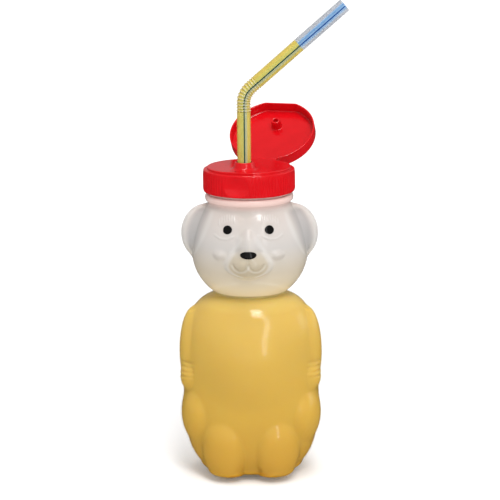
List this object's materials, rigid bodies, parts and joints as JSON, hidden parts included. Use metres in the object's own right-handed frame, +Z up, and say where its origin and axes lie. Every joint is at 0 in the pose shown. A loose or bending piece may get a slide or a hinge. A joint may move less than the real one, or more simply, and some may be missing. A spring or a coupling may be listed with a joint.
{
  "type": "honey bear straw cup",
  "caption": "Squeeze bottle shaped as a sitting bear, with a ribbed screw cap, a flip lid on a living hinge and a long straw with a bellows bend.",
  "frame": {"origin": "middle of the base that the bottle stands on", "axes": "+Z up along the bottle's axis, -Y the way the bear faces, +X the bear's left, where the straw bends to"},
  "size_m": [0.0745, 0.0798, 0.2077],
  "materials": {
    "natural_plastic": "frosted, see-through",
    "black_ink": "gloss",
    "white_foam": "matte",
    "red_plastic": "gloss",
    "seal_rubber": "matte",
    "straw_plastic": "gloss, see-through"
  },
  "bodies": {
    "bottle": {"bear_bottle": "natural_plastic", "left_eye": "black_ink", "right_eye": "black_ink", "nose": "black_ink"},
    "liner": {"cap_liner": "white_foam"},
    "cap": {"screw_cap": "red_plastic", "hinge_web_left": "red_plastic", "hinge_web_right": "red_plastic"},
    "lid": {"flip_lid": "red_plastic"},
    "seal": {"straw_seal": "seal_rubber"},
    "straw": {"straw_stem": "straw_plastic", "straw_bellows": "straw_plastic"},
    "mouth": {"straw_mouth_tube": "straw_plastic"}
  },
  "joints": [
    {"name": "cap_lift", "type": "slide", "parent": "bottle", "child": "liner", "axis": [0, 0, 1], "range_m": [0, 0.00529]},
    {"name": "cap_turn", "type": "hinge", "parent": "liner", "child": "cap", "pos_m": [0, 0, 0.1351], "axis": [0, 0, 1], "range_deg": [0, 450]},
    {"name": "lid_hinge", "type": "hinge", "parent": "cap", "child": "lid", "pos_m": [0.00513, 0.01912, 0.1351], "axis": [-0.9659, 0.2588, 0], "range_deg": [-88, 34], "deforming": ["hinge_web_left", "hinge_web_right"]},
    {"name": "straw_turn", "type": "hinge", "parent": "cap", "child": "seal", "pos_m": [-0.00179, -0.00666, 0.1361], "axis": [0, 0, 1], "continuous": true},
    {"name": "straw_slide", "type": "slide", "parent": "seal", "child": "straw", "axis": [0, 0, 1], "range_m": [0, 0.12]},
    {"name": "straw_bend", "type": "hinge", "parent": "straw", "child": "mouth", "pos_m": [-0.00179, -0.00666, 0.16827], "axis": [0, 1, 0], "range_deg": [-49, 41], "deforming": ["straw_bellows"]}
  ],
  "couplings": [
    {"joint": "cap_lift", "follows": "cap_turn", "m_per_rad": 0.0006737}
  ]
}
